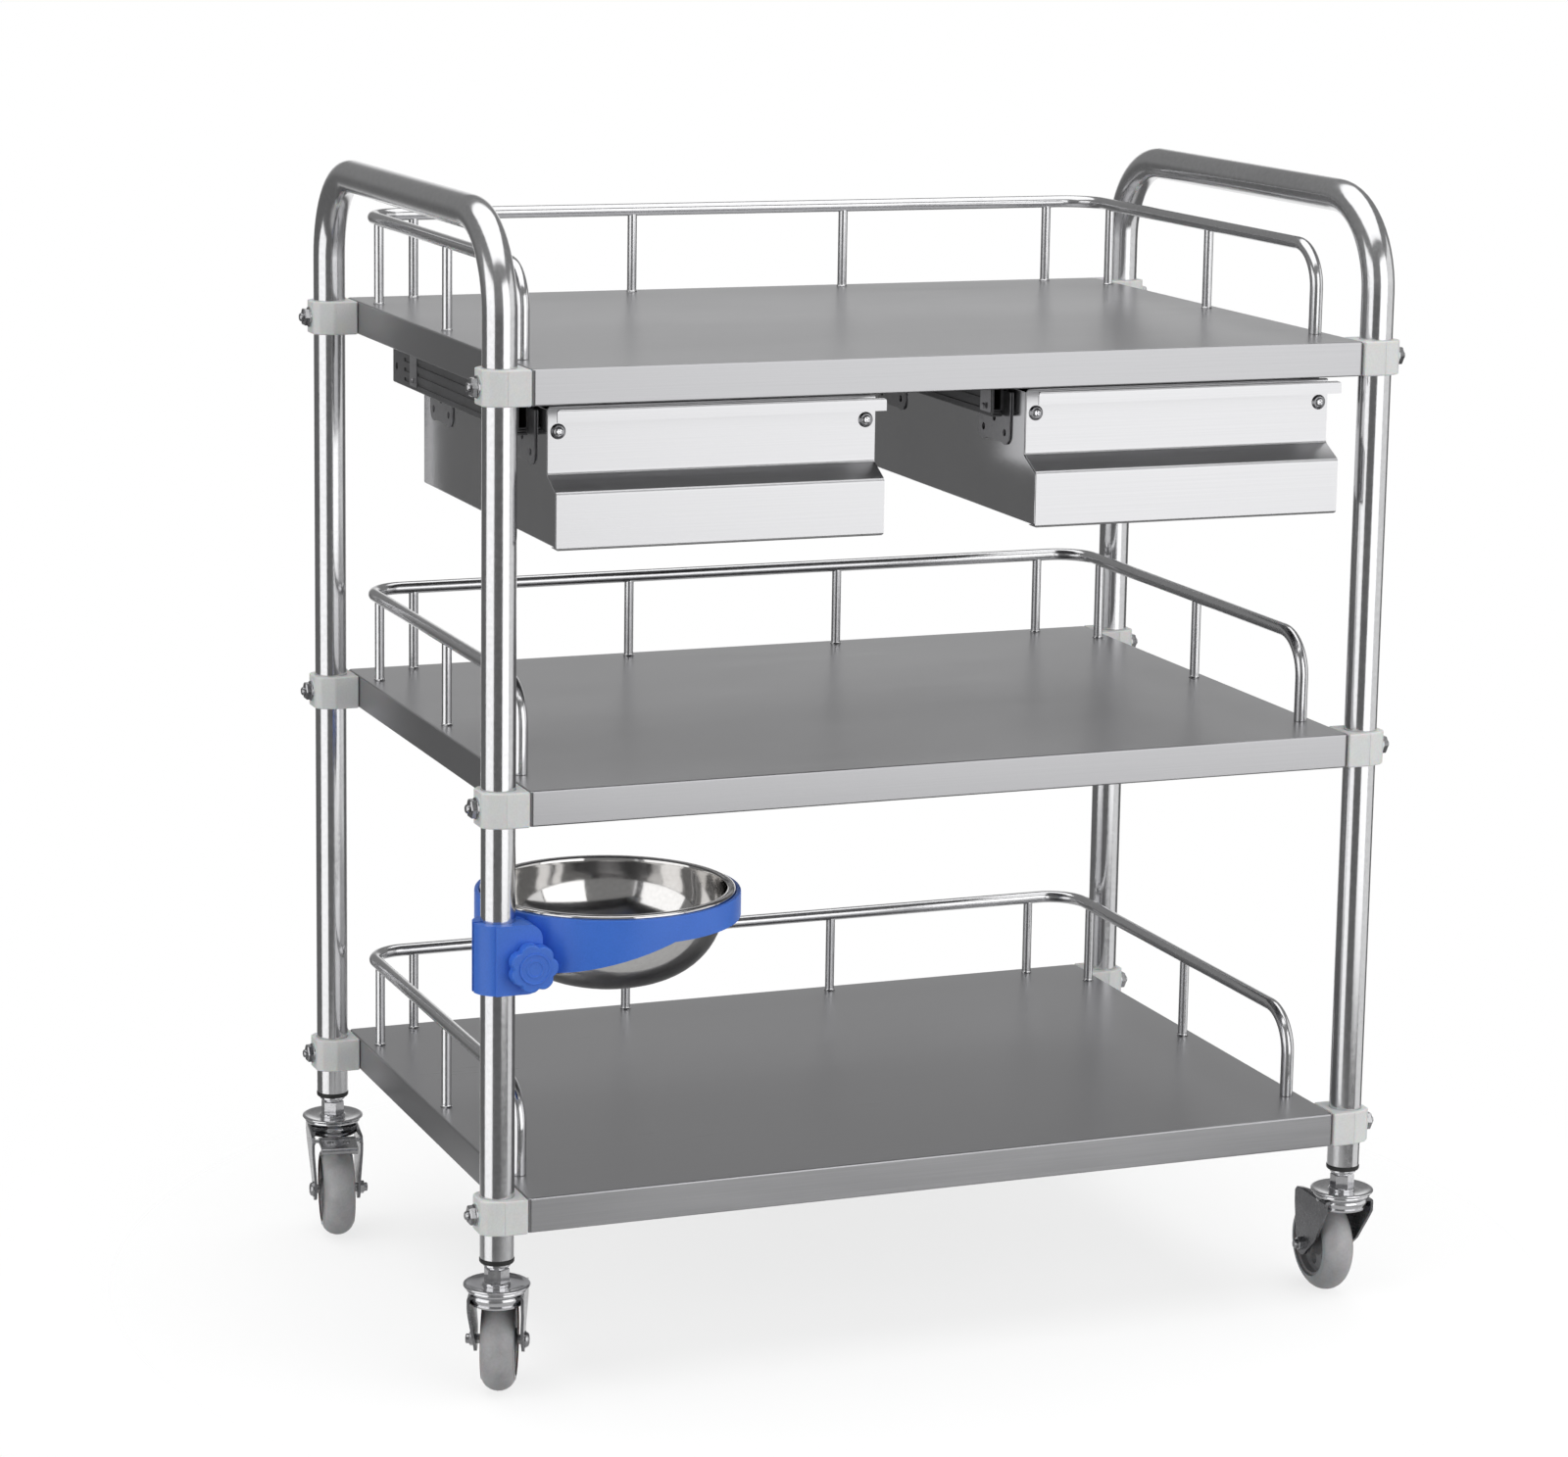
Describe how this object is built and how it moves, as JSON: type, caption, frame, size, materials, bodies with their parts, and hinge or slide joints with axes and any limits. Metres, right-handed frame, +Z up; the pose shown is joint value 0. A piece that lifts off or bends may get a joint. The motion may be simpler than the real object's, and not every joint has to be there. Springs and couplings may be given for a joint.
{
  "type": "medical trolley",
  "caption": "Stainless steel medical trolley with open shelves, guard rails, two drawers under the top shelf, a clamp-on bowl and swivel castors.",
  "frame": {"origin": "centre of the footprint on the floor, under the tyres", "axes": "+X to the right along the front, +Y from the front to the back, +Z up"},
  "size_m": [0.7431, 0.5058, 0.872],
  "materials": {
    "polished_tube": "mirror-polished stainless steel",
    "sheet": "satin stainless sheet",
    "drawer_sheet": "brushed stainless sheet",
    "slide": "dark coated steel",
    "chrome": "bright plated",
    "nylon": "off-white nylon",
    "blue_plastic": "semi-gloss moulded",
    "tread": "grey elastomer",
    "hub": "grey moulded",
    "bowl_steel": "polished stainless"
  },
  "bodies": {
    "frame": {"end_frame_left": "polished_tube", "end_frame_right": "polished_tube", "shelf_bottom": "sheet", "shelf_middle": "sheet", "shelf_top": "sheet", "guard_rail_bottom": "polished_tube", "guard_rail_middle": "polished_tube", "guard_rail_top": "polished_tube", "clamp_bottom_front_left": "nylon", "clamp_bottom_front_right": "nylon", "clamp_bottom_rear_left": "nylon", "clamp_bottom_rear_right": "nylon", "clamp_middle_front_left": "nylon", "clamp_middle_front_right": "nylon", "clamp_middle_rear_left": "nylon", "clamp_middle_rear_right": "nylon", "clamp_top_front_left": "nylon", "clamp_top_front_right": "nylon", "clamp_top_rear_left": "nylon", "clamp_top_rear_right": "nylon", "drawer_left_slide_outer_left": "slide", "drawer_left_slide_outer_right": "slide", "drawer_right_slide_outer_left": "slide", "drawer_right_slide_outer_right": "slide", "castor_head_front_left": "chrome", "castor_head_front_right": "chrome", "castor_head_rear_left": "chrome", "castor_head_rear_right": "chrome"},
    "drawer_left": {"drawer_left_box": "drawer_sheet", "drawer_left_front": "drawer_sheet", "drawer_left_slide_inner_left": "slide", "drawer_left_slide_inner_right": "slide"},
    "drawer_left_runner": {"drawer_left_slide_middle_left": "slide", "drawer_left_slide_middle_right": "slide"},
    "drawer_right": {"drawer_right_box": "drawer_sheet", "drawer_right_front": "drawer_sheet", "drawer_right_slide_inner_left": "slide", "drawer_right_slide_inner_right": "slide"},
    "drawer_right_runner": {"drawer_right_slide_middle_left": "slide", "drawer_right_slide_middle_right": "slide"},
    "castor_front_left": {"castor_fork_front_left": "chrome"},
    "wheel_front_left": {"castor_tyre_front_left": "tread", "castor_hub_front_left": "hub"},
    "castor_front_right": {"castor_fork_front_right": "chrome"},
    "wheel_front_right": {"castor_tyre_front_right": "tread", "castor_hub_front_right": "hub"},
    "castor_rear_left": {"castor_fork_rear_left": "chrome"},
    "wheel_rear_left": {"castor_tyre_rear_left": "tread", "castor_hub_rear_left": "hub"},
    "brake_rear_left": {"brake_pedal_rear_left": "chrome"},
    "castor_rear_right": {"castor_fork_rear_right": "chrome"},
    "wheel_rear_right": {"castor_tyre_rear_right": "tread", "castor_hub_rear_right": "hub"},
    "brake_rear_right": {"brake_pedal_rear_right": "chrome"},
    "bowl_holder": {"bowl_ring": "blue_plastic", "bowl_clamp_jaw": "blue_plastic"},
    "knob": {"clamp_knob": "blue_plastic"},
    "bowl": {"bowl": "bowl_steel"}
  },
  "joints": [
    {"name": "drawer_left_slide", "type": "slide", "parent": "frame", "child": "drawer_left", "axis": [0, -1, 0], "range_m": [0, 0.26]},
    {"name": "drawer_left_runner_slide", "type": "slide", "parent": "frame", "child": "drawer_left_runner", "axis": [0, -1, 0], "range_m": [0, 0.13]},
    {"name": "drawer_right_slide", "type": "slide", "parent": "frame", "child": "drawer_right", "axis": [0, -1, 0], "range_m": [0, 0.26]},
    {"name": "drawer_right_runner_slide", "type": "slide", "parent": "frame", "child": "drawer_right_runner", "axis": [0, -1, 0], "range_m": [0, 0.13]},
    {"name": "front_left_swivel", "type": "hinge", "parent": "frame", "child": "castor_front_left", "pos_m": [-0.3455, -0.21043, 0.0852], "axis": [0, 0, 1], "continuous": true},
    {"name": "front_left_wheel", "type": "hinge", "parent": "castor_front_left", "child": "wheel_front_left", "pos_m": [-0.33426, -0.18261, 0.0375], "axis": [-0.9272, 0.3746, 0], "continuous": true},
    {"name": "front_right_swivel", "type": "hinge", "parent": "frame", "child": "castor_front_right", "pos_m": [0.3455, -0.21043, 0.0852], "axis": [0, 0, 1], "continuous": true},
    {"name": "front_right_wheel", "type": "hinge", "parent": "castor_front_right", "child": "wheel_front_right", "pos_m": [0.34707, -0.18047, 0.0375], "axis": [-0.9986, 0.0523, 0], "continuous": true},
    {"name": "rear_left_swivel", "type": "hinge", "parent": "frame", "child": "castor_rear_left", "pos_m": [-0.3455, 0.22857, 0.0852], "axis": [0, 0, 1], "continuous": true},
    {"name": "rear_left_wheel", "type": "hinge", "parent": "castor_rear_left", "child": "wheel_rear_left", "pos_m": [-0.35071, 0.19903, 0.0375], "axis": [0.9848, -0.1736, 0], "continuous": true},
    {"name": "rear_left_brake", "type": "hinge", "parent": "castor_rear_left", "child": "brake_rear_left", "pos_m": [-0.35175, 0.19312, 0.0795], "axis": [0.9848, -0.1736, 0], "range_deg": [0, 20]},
    {"name": "rear_right_swivel", "type": "hinge", "parent": "frame", "child": "castor_rear_right", "pos_m": [0.3455, 0.22857, 0.0852], "axis": [0, 0, 1], "continuous": true},
    {"name": "rear_right_wheel", "type": "hinge", "parent": "castor_rear_right", "child": "wheel_rear_right", "pos_m": [0.33426, 0.20076, 0.0375], "axis": [0.9272, -0.3746, 0], "continuous": true},
    {"name": "rear_right_brake", "type": "hinge", "parent": "castor_rear_right", "child": "brake_rear_right", "pos_m": [0.33201, 0.1952, 0.0795], "axis": [0.9272, -0.3746, 0], "range_deg": [0, 20]},
    {"name": "holder_swing", "type": "hinge", "parent": "frame", "child": "bowl_holder", "pos_m": [-0.3455, -0.21043, 0.364], "axis": [0, 0, 1], "continuous": true},
    {"name": "knob_turn", "type": "hinge", "parent": "bowl_holder", "child": "knob", "pos_m": [-0.327, -0.21043, 0.331], "axis": [0, 1, 0], "continuous": true},
    {"name": "bowl_lift", "type": "slide", "parent": "bowl_holder", "child": "bowl", "axis": [0, 0, 1], "range_m": [0, 0.06]}
  ],
  "couplings": [
    {"joint": "drawer_left_runner_slide", "follows": "drawer_left_slide", "ratio": 0.5},
    {"joint": "drawer_right_runner_slide", "follows": "drawer_right_slide", "ratio": 0.5}
  ]
}
